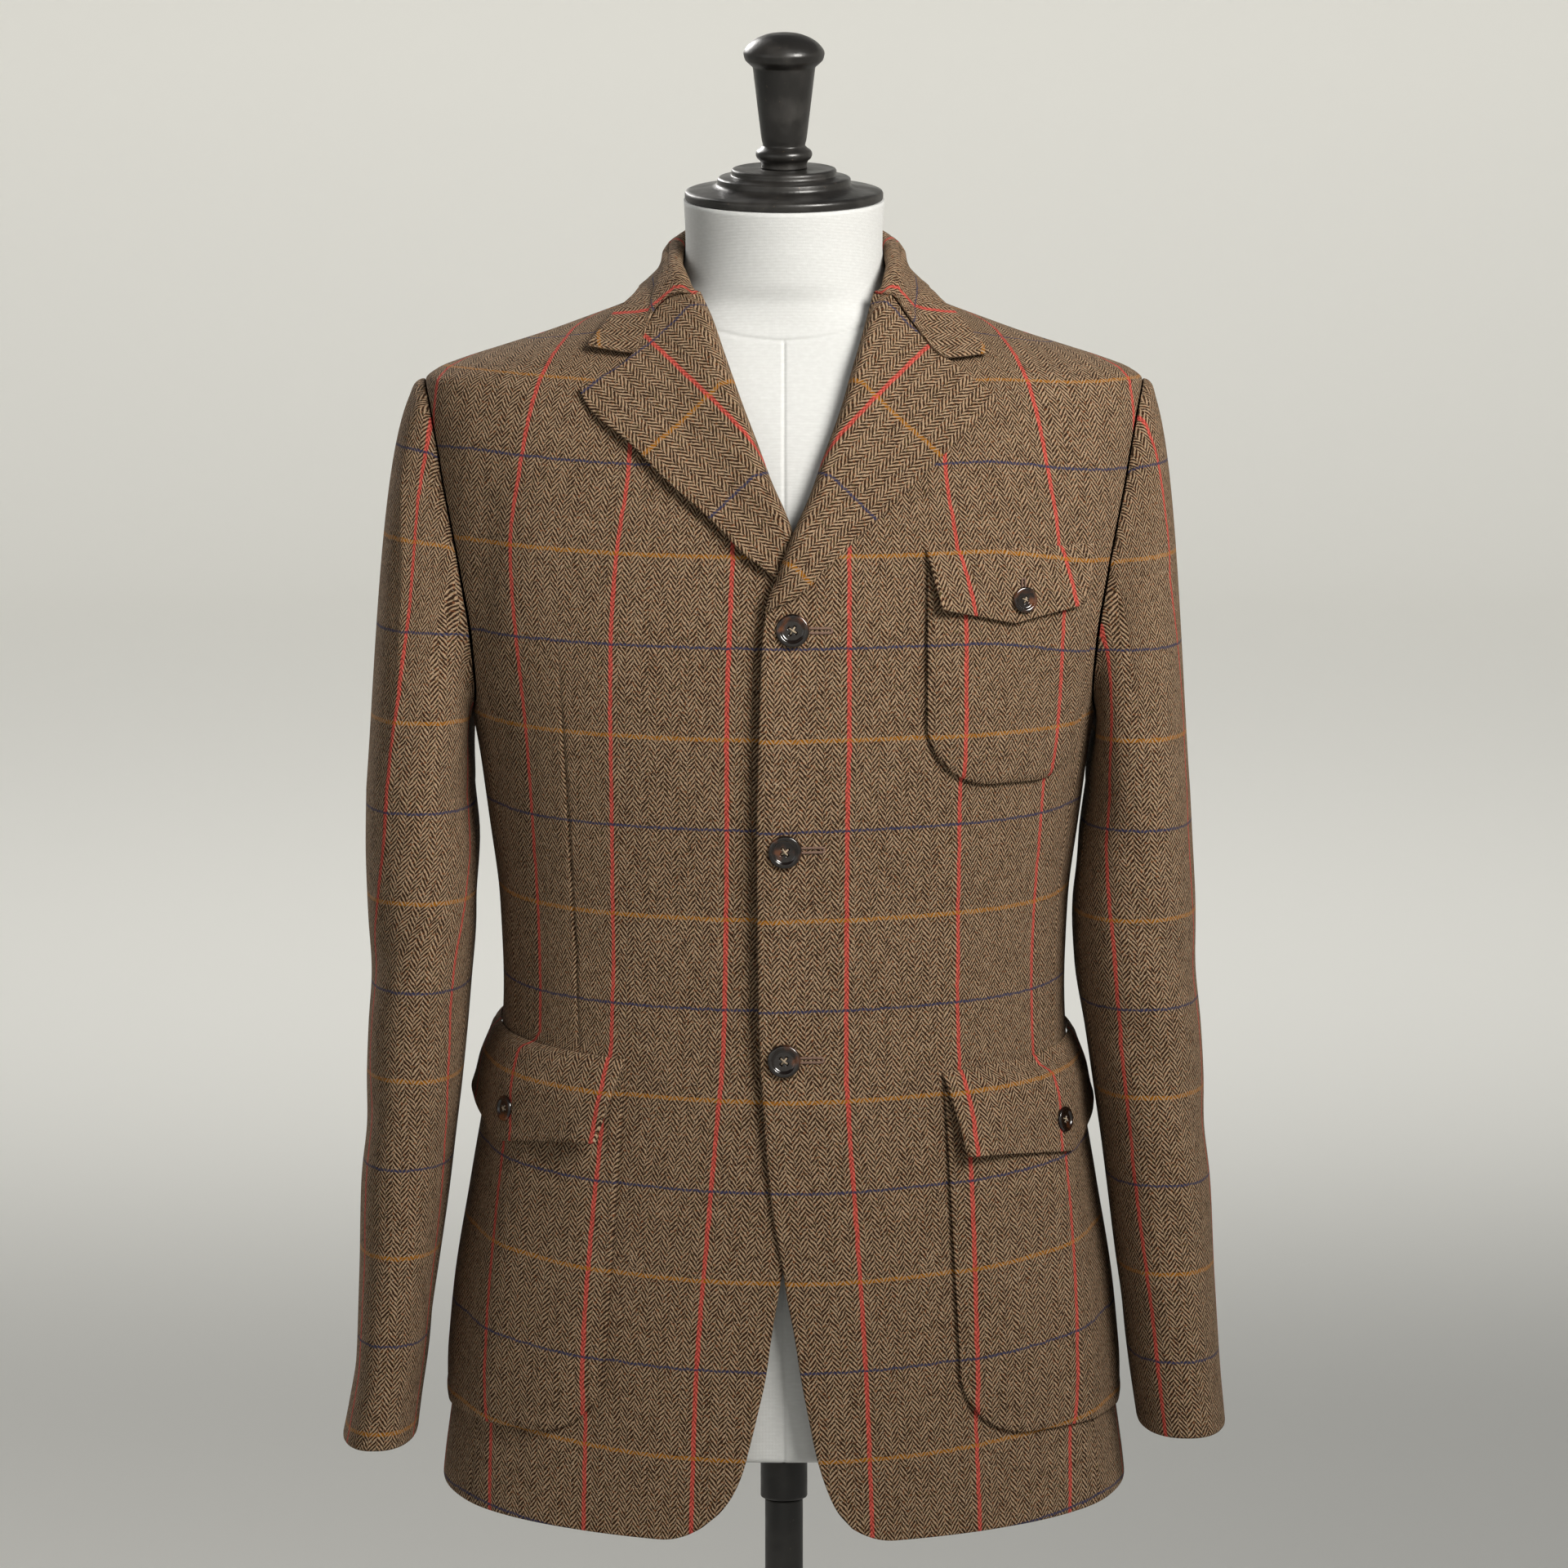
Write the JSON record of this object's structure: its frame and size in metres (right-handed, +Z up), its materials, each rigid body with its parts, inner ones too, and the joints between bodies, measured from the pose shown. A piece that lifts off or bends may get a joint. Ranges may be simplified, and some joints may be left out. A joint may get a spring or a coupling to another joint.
{
  "type": "tweed jacket on a limbless dress form with a pole stand",
  "caption": "Single-breasted notch-lapel tweed jacket with flapped patch pockets, buttoned on a linen-covered limbless dress form with a turned finial, black pole and round base.",
  "frame": {"origin": "centre of the stand base's underside, on the floor", "axes": "+Z up along the pole, -Y the way the wearer faces, +X to the wearer's left"},
  "size_m": [0.544, 0.4, 1.6575],
  "materials": {
    "brown_tweed": "brown herringbone wool tweed with a fine check in orange, red and navy",
    "dark_horn": "dark brown polished horn",
    "cream_linen": "undyed linen cover",
    "black_lacquer": "turned wood, black lacquer",
    "black_enamel": "black enamel"
  },
  "bodies": {
    "root": {"front_left": "brown_tweed", "side_left": "brown_tweed", "back_left": "brown_tweed", "sleeve_left_top": "brown_tweed", "sleeve_left_under": "brown_tweed", "lapel_left": "brown_tweed", "front_right": "brown_tweed", "side_right": "brown_tweed", "back_right": "brown_tweed", "sleeve_right_top": "brown_tweed", "sleeve_right_under": "brown_tweed", "lapel_right": "brown_tweed", "collar": "brown_tweed", "pocket_chest": "brown_tweed", "pocket_left": "brown_tweed", "pocket_right": "brown_tweed", "flap_chest": "brown_tweed", "flap_left": "brown_tweed", "flap_right": "brown_tweed", "button_front_1": "dark_horn", "button_front_2": "dark_horn", "button_front_3": "dark_horn", "button_chest": "dark_horn", "button_pocket_left": "dark_horn", "button_pocket_right": "dark_horn", "form_torso": "cream_linen", "neck_cap": "black_lacquer", "finial": "black_lacquer", "pole_collar": "black_enamel", "pole": "black_enamel", "stand_base": "black_enamel"}
  },
  "joints": []
}
